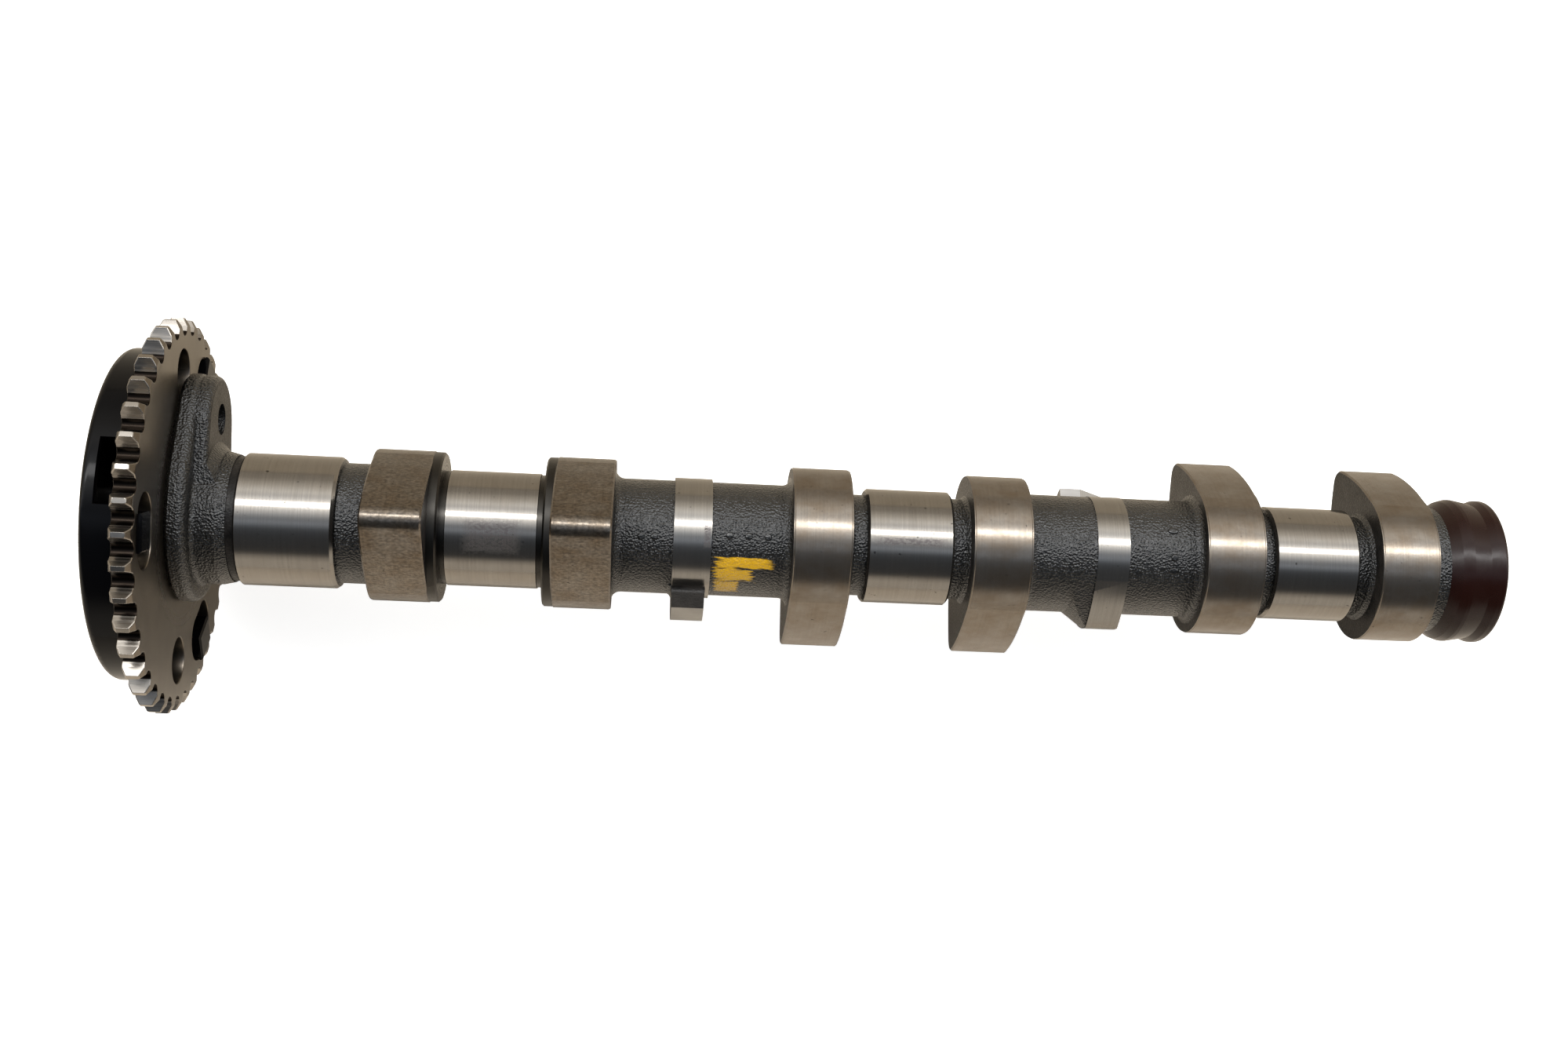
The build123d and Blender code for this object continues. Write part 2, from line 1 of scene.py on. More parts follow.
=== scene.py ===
"""Dresses a camshaft: studio, camera, and the finishes of its ground, cast and moulded surfaces.

The row frame is kept: +X runs along the shaft from the sprocket to the sealed end, +Z is up, and the
origin is on the axis at the first journal. Places along the shaft are in millimetres and are turned
to metres with MM. Angles about the shaft go from +Z towards +Y.
"""

from math import cos, hypot, pi, radians, sin, tan

import bpy
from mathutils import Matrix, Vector


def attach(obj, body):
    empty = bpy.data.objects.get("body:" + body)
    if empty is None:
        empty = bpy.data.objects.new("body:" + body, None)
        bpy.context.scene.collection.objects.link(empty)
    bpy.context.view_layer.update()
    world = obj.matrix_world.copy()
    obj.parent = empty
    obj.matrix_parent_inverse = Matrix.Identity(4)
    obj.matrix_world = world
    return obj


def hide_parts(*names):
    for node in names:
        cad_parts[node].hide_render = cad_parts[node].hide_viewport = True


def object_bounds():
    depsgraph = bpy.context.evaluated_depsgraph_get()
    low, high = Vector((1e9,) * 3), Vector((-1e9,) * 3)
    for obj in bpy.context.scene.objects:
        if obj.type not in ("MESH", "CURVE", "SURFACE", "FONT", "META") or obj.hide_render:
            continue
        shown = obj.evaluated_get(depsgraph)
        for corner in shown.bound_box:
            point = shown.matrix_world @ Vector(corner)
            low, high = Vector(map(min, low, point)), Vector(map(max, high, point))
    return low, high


bl_info = {
    "name": "Camshaft Dresser",
    "version": (1, 0, 0),
    "blender": (4, 5, 0),
    "location": "View3D > Sidebar > Camshaft",
    "description": "Finishes a chilled iron camshaft with its sprocket, separator cup and end seal",
    "category": "Object",
}

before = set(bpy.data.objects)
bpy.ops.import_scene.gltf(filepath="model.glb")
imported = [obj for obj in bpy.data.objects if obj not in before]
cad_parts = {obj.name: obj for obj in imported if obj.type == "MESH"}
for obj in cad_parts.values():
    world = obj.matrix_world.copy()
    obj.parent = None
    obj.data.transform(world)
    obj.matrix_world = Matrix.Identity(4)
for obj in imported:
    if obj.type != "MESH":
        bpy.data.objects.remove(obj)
cad_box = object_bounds()

MM = 0.001
BODY = "root"

# Where the ground, turned and cast surfaces are along the shaft
JOURNALS = ((0.0, 20.4), (43.4, 62.8), (133.3, 152.1), (222.9, 241.7))
LOBES = ((27.4, 40.1), (66.1, 78.8), (117.0, 129.7), (155.7, 168.4), (206.6, 219.3), (245.3, 258.0))
THRUST_SHOULDERS = ((40.2, 43.35), (62.85, 66.0))
HUB_GROOVE = (-1.6, 0.0)
MOTTLED_LOBES_TO_X = 80.0
LUG_RING = (91.7, 99.8)
MOON_RING = (183.25, 190.3)
MOON_STOP = (178.65, 190.3)
EAR_FACE_X = -6.1
EAR_FACE_FROM_Y = 11.0
# Radii about the axis at which one surface ends and the next begins
RING_RADIUS = 13.05
LUG_TIP_RADIUS = 17.8
SPROCKET_ROOT_RADIUS = 38.6
DARK_ROOT_RADIUS = 39.7
# How far a face's middle may be from the place that its surface is given here
SPAN_MARGIN = 0.02
RING_MARGIN = 0.05
EAR_FACE_MARGIN = 0.1
ROOT_MARGIN = 0.3
# How squarely a face has to face its way, where 1 is square to it
SIDE_FACING = 0.85
STOP_TOP_FACING = 0.6
SPROCKET_FRONT_FACING = 0.8
SPROCKET_BACK_FACING = 0.9

# Smudges on the second and third journals and beside the lug, each a middle and a half size
JOURNAL_SMUDGES = (((53.3, -1.3, 12.0), (6.1, 3.6, 4.0)), ((142.5, 1.4, 12.4), (8.2, 0.9, 2.0)))
RING_SMUDGES = (((98.9, 1.0, 13.0), (0.8, 2.8, 1.0)),)
# Three dry strokes of a marking brush on the front shaft, each a middle and a half size
PAINT_STROKES = (
    ((106.8, -4.7, 11.0), (7.2, 1.4, 4.0)),
    ((104.8, -7.3, 9.5), (4.8, 1.6, 4.0)),
    ((103.4, -9.9, 8.0), (3.0, 1.4, 4.0)),
)
# Foundry pips on the cast shaft: place along it, angle, length, and the shaft's radius there
PIPS = (
    (84.8, 1.0, 1.6, 12.4),
    (87.6, 1.0, 1.6, 12.4),
    (103.6, 5.0, 1.6, 12.4),
    (107.7, 5.0, 1.6, 12.4),
    (111.8, 5.0, 1.6, 12.4),
    (199.9, 29.0, 2.4, 12.9),
    (200.1, 2.0, 1.6, 12.9),
    (200.0, -11.0, 2.4, 12.9),
)
# How deep a pip is sunk, how far its edges are rounded, and the most degrees that are shaded smooth
PIP_SUNK = 0.5
PIP_EDGE = 0.28
PIP_SIDES = 20
PIP_SMOOTH_ANGLE = 50
# Edges of the sprocket that turn more than this many degrees are worn
WORN_EDGE_ANGLE = 28
# Segments of a rounded edge, on the pips and on the sprocket
ROUNDING_SEGMENTS = 3

# Fixed colours, beside those that a user can change
SKIN_HOLLOWS = "#070706"
ROUGH_SIDE_AND_SHADE_DARK = "#0E0D0C"
ROUGH_SIDE_AND_SHADE_LIGHT = "#262320"
TURNED_IRON = "#3B3936"
MILLED_IRON = "#A3A19E"
POLISHED_STEEL = "#9C968E"
DARK_ROOT_STEEL = "#201B17"
PHOSPHATE = "#4E4D4A"
PIN_STEEL = "#B5B1AA"
PITS = "#2A2622"
SMUDGE = "#473F42"
PAINT = "#C99A10"
WHITE = "#FFFFFF"
# Colours of the board as metal mirrors it, on the side of the pale wall and on the other
# Both are a painted reflection, and the far one is darker as painted shade
BOARD_PAINTED_REFLECTION_NEAR = "#EADCC8"
BOARD_PAINTED_SHADE_FAR = "#B5A894"

# Sockets of a Mix node that mixes colours
FACTOR, COLOUR_A, COLOUR_B, MIXED = 0, 6, 7, 2
# Nearly all of a noise pattern lies between these
NOISE_SPREAD = {"From Min": 0.3, "From Max": 0.7}


def linear(hex_colour):
    """The linear values that shaders take, from a colour written as sRGB hex."""
    parts = [int(hex_colour[i : i + 2], 16) / 255 for i in (1, 3, 5)]
    return [c / 12.92 if c <= 0.04045 else ((c + 0.055) / 1.055) ** 2.4 for c in parts] + [1.0]


def add(tree, kind, inputs=(), **settings):
    """A new node with its settings and links.

    inputs maps a socket's name or number to its value, to the output that feeds it, or to the node
    whose first output feeds it.
    """
    node = tree.nodes.new(kind)
    for name, value in settings.items():
        setattr(node, name, value)
    for socket, value in dict(inputs).items():
        if isinstance(value, bpy.types.Node):
            value = value.outputs[0]
        if isinstance(value, bpy.types.NodeSocket):
            tree.links.new(value, node.inputs[socket])
        else:
            node.inputs[socket].default_value = value
    return node


def blank_material(name):
    """A new material, its tree with nothing but Object coordinates in it, and those coordinates."""
    made = bpy.data.materials.new(name)
    made.use_nodes = True
    tree = made.node_tree
    tree.nodes.clear()
    return made, tree, add(tree, "ShaderNodeTexCoord").outputs["Object"]


def per_mm(*lengths):
    """Scale of a Mapping node that makes one unit of a pattern that many millimetres long on each axis."""
    return [1 / (length * MM) for length in lengths]


def reach_in_box(tree, place, middle, half_size):
    """How far out a point is in a box given in mm: 0 at its middle, 1 at its sides and more beyond."""
    off = add(tree, "ShaderNodeVectorMath", {0: place, 1: Vector(middle) * MM}, operation="SUBTRACT")
    out = add(tree, "ShaderNodeVectorMath", {0: off}, operation="ABSOLUTE")
    share = add(tree, "ShaderNodeVectorMath", {0: out, 1: Vector(half_size) * MM}, operation="DIVIDE")
    sides = add(tree, "ShaderNodeSeparateXYZ", {0: share})
    most = add(tree, "ShaderNodeMath", {0: sides.outputs[0], 1: sides.outputs[1]}, operation="MAXIMUM")
    return add(tree, "ShaderNodeMath", {0: most, 1: sides.outputs[2]}, operation="MAXIMUM")


def add_smudge(tree, place, grains, smudge, metal, metallic):
    """The metal's colour and metallic share with a smudge on it, ragged at its sides and specked."""
    ragged = add(
        tree, "ShaderNodeMath", {0: reach_in_box(tree, place, *smudge), 1: grains}, operation="ADD"
    )
    specks = add(
        tree,
        "ShaderNodeMapRange",
        {"Value": grains, "From Min": 0.4, "From Max": 0.6, "To Min": 0.2, "To Max": 0.7},
    )
    # The grains average 0.5, so the smudge fades out about where the box ends
    cover = add(
        tree,
        "ShaderNodeMapRange",
        {"Value": ragged, "From Min": 1.25, "From Max": 1.55, "To Min": specks, "To Max": 0.0},
    )
    smudged = add(
        tree,
        "ShaderNodeMix",
        {FACTOR: cover, COLOUR_A: metal.outputs[MIXED], COLOUR_B: linear(SMUDGE)},
        data_type="RGBA",
    )
    duller = add(tree, "ShaderNodeMapRange", {"Value": cover, "To Min": metallic, "To Max": 0.3})
    return smudged, duller


def finish_ground_iron(
    name, clean, stained, *, stain_share, rough, line_mm, mottle, film, smudges=()
):
    """Chilled cast iron, ground between centres: fine lines round the shaft, and varnish from hot oil.

    stain_share is how much of the stained colour shows where the varnish is thickest. film is the
    share of the light that the varnish scatters, and mottle is how much darker the film's grains are.
    A smudge is the middle and the half size, in mm, of a box in which the film is dark and streaky.
    """
    made, tree, place = blank_material(name)
    # The wheel leaves lines about 0.02 mm apart and some 14 mm long, drawn further apart here so that
    # they show
    line_space = add(tree, "ShaderNodeMapping", {"Vector": place, "Scale": per_mm(line_mm, 14, 14)})
    lines = add(tree, "ShaderNodeTexNoise", {"Vector": line_space, "Scale": 1, "Detail": 3})
    line_share = add(
        tree, "ShaderNodeMapRange", {"Value": lines, **NOISE_SPREAD, "To Min": 0.86, "To Max": 1.0}
    )
    # Varnish lies in soft patches of a few millimetres
    patch_space = add(tree, "ShaderNodeMapping", {"Vector": place, "Scale": per_mm(5, 4, 4)})
    patches = add(
        tree, "ShaderNodeTexNoise", {"Vector": patch_space, "Scale": 1, "Detail": 6, "Roughness": 0.62}
    )
    patch_share = add(
        tree,
        "ShaderNodeMapRange",
        {"Value": patches, **NOISE_SPREAD, "To Min": stain_share / 2, "To Max": stain_share},
    )
    # The film is worn through in grains of half a millimetre or a little more
    grain_space = add(tree, "ShaderNodeMapping", {"Vector": place, "Scale": per_mm(0.8, 0.5, 0.5)})
    grains = add(tree, "ShaderNodeTexNoise", {"Vector": grain_space, "Scale": 1, "Detail": 3})
    grain_share = add(
        tree, "ShaderNodeMapRange", {"Value": grains, **NOISE_SPREAD, "To Min": 1 - mottle, "To Max": 1.0}
    )
    tone = add(tree, "ShaderNodeMath", {0: grain_share, 1: line_share}, operation="MULTIPLY")
    metal = add(
        tree, "ShaderNodeMix", {FACTOR: patch_share, COLOUR_A: clean, COLOUR_B: stained}, data_type="RGBA"
    )
    metallic = 1 - film
    for smudge in smudges:
        metal, metallic = add_smudge(tree, place, grains, smudge, metal, metallic)
    lined = add(
        tree,
        "ShaderNodeMix",
        {FACTOR: 1.0, COLOUR_A: metal.outputs[MIXED], COLOUR_B: tone.outputs[0]},
        data_type="RGBA",
        blend_type="MULTIPLY",
    )
    # Graphite and fine pores leave specks, drawn about 0.4 mm wide so that they show
    pit_space = add(tree, "ShaderNodeMapping", {"Vector": place, "Scale": per_mm(1.1, 0.9, 0.9)})
    pits = add(tree, "ShaderNodeTexNoise", {"Vector": pit_space, "Scale": 1, "Detail": 2})
    pit_share = add(
        tree,
        "ShaderNodeMapRange",
        {"Value": pits, "From Min": 0.72, "From Max": 0.76, "To Min": 0.0, "To Max": 0.8},
    )
    pitted = add(
        tree,
        "ShaderNodeMix",
        {FACTOR: pit_share, COLOUR_A: lined.outputs[MIXED], COLOUR_B: linear(PITS)},
        data_type="RGBA",
    )
    roughness = add(
        tree,
        "ShaderNodeMapRange",
        {"Value": patches, **NOISE_SPREAD, "To Min": rough * 0.85, "To Max": rough * 1.2},
    )
    height = add(tree, "ShaderNodeMath", {0: lines, 1: pit_share}, operation="SUBTRACT")
    bump = add(tree, "ShaderNodeBump", {"Strength": 0.3, "Distance": 0.02 * MM, "Height": height})
    shader = add(
        tree,
        "ShaderNodeBsdfPrincipled",
        {
            "Base Color": pitted.outputs[MIXED],
            "Metallic": metallic,
            "Roughness": roughness,
            "Normal": bump,
        },
    )
    add(tree, "ShaderNodeOutputMaterial", {"Surface": shader})
    return made


def add_stroke(tree, place, stroke, skin):
    """The skin's colour with a stroke of dry marking paint on it."""
    # Bristles pull the paint into streaks along the shaft, half a millimetre wide
    streak_space = add(tree, "ShaderNodeMapping", {"Vector": place, "Scale": per_mm(3.5, 0.5, 0.5)})
    streaks = add(tree, "ShaderNodeTexNoise", {"Vector": streak_space, "Scale": 1, "Detail": 4})
    ragged = add(
        tree, "ShaderNodeMath", {0: reach_in_box(tree, place, *stroke), 1: streaks}, operation="ADD"
    )
    paint = add(
        tree,
        "ShaderNodeMapRange",
        {"Value": ragged, "From Min": 1.2, "From Max": 1.4, "To Min": 1.0, "To Max": 0.0},
    )
    return add(
        tree,
        "ShaderNodeMix",
        {FACTOR: paint, COLOUR_A: skin.outputs[MIXED], COLOUR_B: linear(PAINT)},
        data_type="RGBA",
    )


def finish_cast_skin(name, dark, light, *, rough, grain_depth, oil, strokes=()):
    """Grey iron as cast in sand, blasted and oiled: a nearly black skin whose grains glint.

    grain_depth is in mm, and oil is the share that the oil's film covers. A stroke is the middle and
    the half size, in mm, of a dab of dry yellow marking paint.
    """
    made, tree, place = blank_material(name)
    # Sand grains of a quarter to half a millimetre
    grain_space = add(tree, "ShaderNodeMapping", {"Vector": place, "Scale": per_mm(0.45, 0.4, 0.4)})
    grains = add(
        tree, "ShaderNodeTexNoise", {"Vector": grain_space, "Scale": 1, "Detail": 4, "Roughness": 0.7}
    )
    pebble_space = add(tree, "ShaderNodeMapping", {"Vector": place, "Scale": per_mm(0.5, 0.45, 0.45)})
    pebbles = add(
        tree,
        "ShaderNodeTexVoronoi",
        {"Vector": pebble_space, "Scale": 1, "Smoothness": 0.4},
        feature="SMOOTH_F1",
    )
    height = add(
        tree,
        "ShaderNodeMath",
        {0: grains, 1: 0.5, 2: pebbles.outputs["Distance"]},
        operation="MULTIPLY_ADD",
    )
    # The blasting and the oil leave it darker and lighter over some millimetres
    tone_space = add(tree, "ShaderNodeMapping", {"Vector": place, "Scale": per_mm(5, 5, 5)})
    tones = add(tree, "ShaderNodeTexNoise", {"Vector": tone_space, "Scale": 1, "Detail": 5})
    tone = add(tree, "ShaderNodeMapRange", {"Value": tones, "From Min": 0.35, "From Max": 0.65})
    skin = add(
        tree, "ShaderNodeMix", {FACTOR: tone, COLOUR_A: dark, COLOUR_B: light}, data_type="RGBA"
    )
    for stroke in strokes:
        skin = add_stroke(tree, place, stroke, skin)
    roughness = add(
        tree,
        "ShaderNodeMapRange",
        {"Value": grains, **NOISE_SPREAD, "To Min": rough * 1.4, "To Max": rough * 0.7},
    )
    bump = add(tree, "ShaderNodeBump", {"Strength": 1.0, "Distance": grain_depth * MM, "Height": height})
    shader = add(
        tree,
        "ShaderNodeBsdfPrincipled",
        {
            "Base Color": skin.outputs[MIXED],
            "Roughness": roughness,
            "Specular IOR Level": 0.2,
            "Normal": bump,
            "Coat Weight": oil,
            "Coat Roughness": 0.2,
            "Coat Normal": bump,
        },
    )
    add(tree, "ShaderNodeOutputMaterial", {"Surface": shader})
    return made


def finish_bare_metal(name, colour, *, rough, ring_mm, ring_depth):
    """Bare metal, turned, milled or blanked: a cloudy tone, and rings about the shaft's axis.

    ring_mm is the rings' spacing and ring_depth their depth, both in mm. A tool leaves them closer
    together than 0.2 mm, and they are drawn coarser so that they show.
    """
    made, tree, place = blank_material(name)
    parts = add(tree, "ShaderNodeSeparateXYZ", {0: place})
    flat = add(tree, "ShaderNodeCombineXYZ", {"Y": parts.outputs["Y"], "Z": parts.outputs["Z"]})
    radius = add(tree, "ShaderNodeVectorMath", {0: flat}, operation="LENGTH")
    rings = add(
        tree,
        "ShaderNodeTexNoise",
        {"W": radius.outputs["Value"], "Scale": 1 / (ring_mm * MM), "Detail": 3},
        noise_dimensions="1D",
    )
    # Handling and oil leave clouds of some 7 mm
    cloud_space = add(tree, "ShaderNodeMapping", {"Vector": place, "Scale": per_mm(7, 7, 7)})
    clouds = add(tree, "ShaderNodeTexNoise", {"Vector": cloud_space, "Scale": 1, "Detail": 4})
    shade = add(
        tree, "ShaderNodeMapRange", {"Value": clouds, **NOISE_SPREAD, "To Min": 0.75, "To Max": 1.0}
    )
    tinted = add(
        tree,
        "ShaderNodeMix",
        {FACTOR: 1.0, COLOUR_A: colour, COLOUR_B: shade},
        data_type="RGBA",
        blend_type="MULTIPLY",
    )
    roughness = add(
        tree,
        "ShaderNodeMapRange",
        {"Value": rings, **NOISE_SPREAD, "To Min": rough * 1.2, "To Max": rough * 0.8},
    )
    bump = add(tree, "ShaderNodeBump", {"Strength": 0.5, "Distance": ring_depth * MM, "Height": rings})
    shader = add(
        tree,
        "ShaderNodeBsdfPrincipled",
        {"Base Color": tinted.outputs[MIXED], "Metallic": 1.0, "Roughness": roughness, "Normal": bump},
    )
    add(tree, "ShaderNodeOutputMaterial", {"Surface": shader})
    return made


def finish_moulded(name, colour, *, rough, specular):
    """A moulded part, smooth from a polished tool, with a faint unevenness where it cooled."""
    made, tree, place = blank_material(name)
    # Sink marks of some 4 mm
    wave_space = add(tree, "ShaderNodeMapping", {"Vector": place, "Scale": per_mm(4, 4, 4)})
    waves = add(tree, "ShaderNodeTexNoise", {"Vector": wave_space, "Scale": 1, "Detail": 3})
    roughness = add(
        tree,
        "ShaderNodeMapRange",
        {"Value": waves, **NOISE_SPREAD, "To Min": rough * 0.7, "To Max": rough * 1.4},
    )
    bump = add(tree, "ShaderNodeBump", {"Strength": 0.3, "Distance": 0.05 * MM, "Height": waves})
    shader = add(
        tree,
        "ShaderNodeBsdfPrincipled",
        {"Base Color": colour, "Roughness": roughness, "Specular IOR Level": specular, "Normal": bump},
    )
    add(tree, "ShaderNodeOutputMaterial", {"Surface": shader})
    return made


def finish_board(name, colour):
    """A board in matt paint, which glows for the camera, so that it is white beside the shadow."""
    made, tree, place = blank_material(name)
    rays = add(tree, "ShaderNodeLightPath")
    sides = add(tree, "ShaderNodeSeparateXYZ", {0: place})
    # Metal sees a painted reflection in the board, which turns darker as painted shade on the far side
    toward_painted_shade = add(
        tree,
        "ShaderNodeMapRange",
        {"Value": sides.outputs["Y"], "From Min": BOARD_NEAR_TO_Y * MM, "From Max": BOARD_PAINTED_SHADE_FROM_Y * MM},
    )
    painted_reflection = add(
        tree,
        "ShaderNodeMix",
        {
            FACTOR: toward_painted_shade,
            COLOUR_A: linear(BOARD_PAINTED_REFLECTION_NEAR),
            COLOUR_B: linear(BOARD_PAINTED_SHADE_FAR),
        },
        data_type="RGBA",
    )
    shown = add(
        tree,
        "ShaderNodeMix",
        {FACTOR: rays.outputs["Is Glossy Ray"], COLOUR_A: colour, COLOUR_B: painted_reflection.outputs[MIXED]},
        data_type="RGBA",
    )
    seen = add(
        tree,
        "ShaderNodeMath",
        {0: rays.outputs["Is Camera Ray"], 1: rays.outputs["Is Transmission Ray"]},
        operation="MAXIMUM",
    )
    glow = add(tree, "ShaderNodeMath", {0: seen, 1: BOARD_GLOW}, operation="MULTIPLY")
    shader = add(
        tree,
        "ShaderNodeBsdfPrincipled",
        {
            "Base Color": shown.outputs[MIXED],
            "Roughness": 0.9,
            "Specular IOR Level": 0.0,
            "Emission Color": linear(WHITE),
            "Emission Strength": glow,
        },
    )
    add(tree, "ShaderNodeOutputMaterial", {"Surface": shader})
    return made


def pick(context, piece):
    """Makes one object the only selected and the active one."""
    bpy.ops.object.select_all(action="DESELECT")
    piece.select_set(True)
    context.view_layer.objects.active = piece


def joined_copy(context, node, name):
    """A piece with a CAD node's mesh, its loose triangles joined and its sharp edges marked."""
    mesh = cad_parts[node].data.copy()
    mesh.name = name
    mesh.materials.clear()
    piece = bpy.data.objects.new(name, mesh)
    context.scene.collection.objects.link(piece)
    pick(context, piece)
    bpy.ops.object.mode_set(mode="EDIT")
    bpy.ops.mesh.select_all(action="SELECT")
    bpy.ops.mesh.remove_doubles(threshold=0.001 * MM, use_sharp_edge_from_normals=True)
    bpy.ops.object.mode_set(mode="OBJECT")
    bpy.ops.mesh.customdata_custom_splitnormals_clear()
    return piece


def within(x, spans):
    """Whether a place along the shaft is in one of the spans."""
    return any(low - SPAN_MARGIN < x < high + SPAN_MARGIN for low, high in spans)


def dress(piece, finishes, choose):
    """Gives each face the finish whose number choose returns for its middle, in mm, and its normal."""
    for finish in finishes:
        piece.data.materials.append(finish)
    for face in piece.data.polygons:
        face.material_index = choose(face.center / MM, face.normal)


# Numbers of the casting's finishes
CAST, JOURNAL, LOBE, MOTTLED_LOBE, RING, TURNED, SIDE_AND_PAINTED_SHADE, LUG_TIP = range(8)


def iron_surface(middle, normal):
    """The finish of one face of the shaft."""
    side_on = abs(normal.x) > SIDE_FACING
    radius = hypot(middle.y, middle.z)
    # The relief groove takes the dark side finish, as painted shade
    if within(middle.x, (HUB_GROOVE,)):
        return SIDE_AND_PAINTED_SHADE
    if within(middle.x, THRUST_SHOULDERS):
        return TURNED
    if within(middle.x, JOURNALS) and not side_on:
        return JOURNAL
    if within(middle.x, LOBES):
        if side_on:
            return SIDE_AND_PAINTED_SHADE
        return MOTTLED_LOBE if middle.x < MOTTLED_LOBES_TO_X else LOBE
    if within(middle.x, (LUG_RING,)) and radius > RING_RADIUS + RING_MARGIN:
        return LUG_TIP if radius > LUG_TIP_RADIUS else SIDE_AND_PAINTED_SHADE
    if within(middle.x, (LUG_RING, MOON_RING)) and not side_on:
        return RING
    if within(middle.x, (MOON_STOP,)) and middle.z < 0 and normal.z > STOP_TOP_FACING:
        return LUG_TIP
    # The ear's turned face takes the dark side finish, as painted shade
    if abs(middle.x - EAR_FACE_X) < EAR_FACE_MARGIN and middle.y > EAR_FACE_FROM_Y:
        return SIDE_AND_PAINTED_SHADE
    return CAST


# Numbers of the sprocket's finishes
SPROCKET_FACE, SPROCKET_TEETH, SPROCKET_ROOTS = range(3)


def sprocket_surface(middle, normal):
    """The finish of one face of the sprocket."""
    radius = hypot(middle.y, middle.z)
    flat = normal.x > SPROCKET_FRONT_FACING or normal.x < -SPROCKET_BACK_FACING
    if flat or radius < SPROCKET_ROOT_RADIUS - ROOT_MARGIN:
        return SPROCKET_FACE
    return SPROCKET_ROOTS if radius < DARK_ROOT_RADIUS else SPROCKET_TEETH


class CamshaftStudio(bpy.types.PropertyGroup):
    """The board, the lamp and the room."""

    floor_colour: bpy.props.FloatVectorProperty(
        name="Floor", description="Colour of the floor", subtype="COLOR", size=4, default=linear("#F3F2EF")
    )
    key_light: bpy.props.FloatProperty(
        name="Strip lamp", description="Radiance of the long strip lamp, 1 is white", default=9.0, min=0
    )
    room_light: bpy.props.FloatProperty(
        name="Room", description="Radiance of the brightest part of the room", default=2.7, min=0
    )
    lamp_distance: bpy.props.FloatProperty(
        name="Lamp distance",
        description="From the shaft's axis to the strip lamp",
        default=1.0,
        min=0,
        unit="LENGTH",
    )


class CamshaftFinishes(bpy.types.PropertyGroup):
    """Colours of the finishes."""

    iron: bpy.props.FloatVectorProperty(
        name="Ground iron",
        description="Clean ground iron",
        subtype="COLOR",
        size=4,
        default=linear("#918E89"),
    )
    varnish: bpy.props.FloatVectorProperty(
        name="Varnish",
        description="Iron under varnish from hot oil",
        subtype="COLOR",
        size=4,
        default=linear("#716455"),
    )
    skin: bpy.props.FloatVectorProperty(
        name="Cast skin",
        description="Blasted skin of the casting",
        subtype="COLOR",
        size=4,
        default=linear("#111110"),
    )
    steel: bpy.props.FloatVectorProperty(
        name="Steel", description="Faces of the sprocket", subtype="COLOR", size=4, default=linear("#776F65")
    )
    moulding: bpy.props.FloatVectorProperty(
        name="Moulding", description="Separator cup", subtype="COLOR", size=4, default=linear("#050506")
    )
    rubber: bpy.props.FloatVectorProperty(
        name="Rubber", description="End seal", subtype="COLOR", size=4, default=linear("#1C0A06")
    )


class CamshaftDetails(bpy.types.PropertyGroup):
    """Sizes of the details that the solids leave out."""

    pip_width: bpy.props.FloatProperty(
        name="Pip width",
        description="Across a foundry pip, round the shaft",
        default=1.6 * MM,
        min=0.1 * MM,
        unit="LENGTH",
    )
    pip_height: bpy.props.FloatProperty(
        name="Pip height",
        description="From the cast skin to the top of a pip",
        default=0.3 * MM,
        min=0,
        unit="LENGTH",
    )
    worn_edge: bpy.props.FloatProperty(
        name="Worn edge",
        description="Width that is worn off the sprocket's edges",
        default=0.32 * MM,
        min=0,
        unit="LENGTH",
    )


# The photograph's view: the camera's place in mm, its turn in degrees and its focal length in pixels
CAMERA_PLACE = (86.126, 8.408, 401.390)
CAMERA_TURN = (-0.7962, -4.2187, 2.5657)
FOCAL_PX = 2332.5
IMAGE_WIDTH_PX = 1999
SENSOR_WIDTH = 36.0
# The board's side in metres, its glow, and across the shaft where its reflection turns to painted shade
BOARD_SIDE = 4.0
BOARD_GLOW = 0.68
BOARD_NEAR_TO_Y = -10.0
BOARD_PAINTED_SHADE_FROM_Y = 25.0
# The strip lamp's middle along the shaft in mm, its length in metres, and the angles it fills
LAMP_MIDDLE_X = 100.0
LAMP_LENGTH = 2.6
STRIP_ANGLES = (25.0, 33.0)
# Tone of the room by the angle about the shaft, as a share of its brightest part, judged by what the
# ground iron mirrors: a window beyond the strip lamp, the dark behind the camera, and a pale wall on
# the near side
ROOM_TONES = (
    (-180, "#A19A90"),
    (-74, "#A19A90"),
    (-66, "#857F77"),
    (-60, "#54514D"),
    (-55, "#343434"),
    (-46, "#2E2F31"),
    (-28, "#2E3135"),
    (-19, "#363A40"),
    (-13, "#43484F"),
    (-8, "#666D77"),
    (-3, "#848B96"),
    (2, "#757B84"),
    (6, "#83888F"),
    (10, "#A4A8AE"),
    (16, "#CFD1D4"),
    (20, "#F4F5F6"),
    (38, "#F4F5F6"),
    (44, "#C9C9C9"),
    (52, "#DEDCD8"),
    (64, "#B5B0A8"),
    (78, "#857F76"),
    (100, "#746D63"),
    (180, "#746D63"),
)


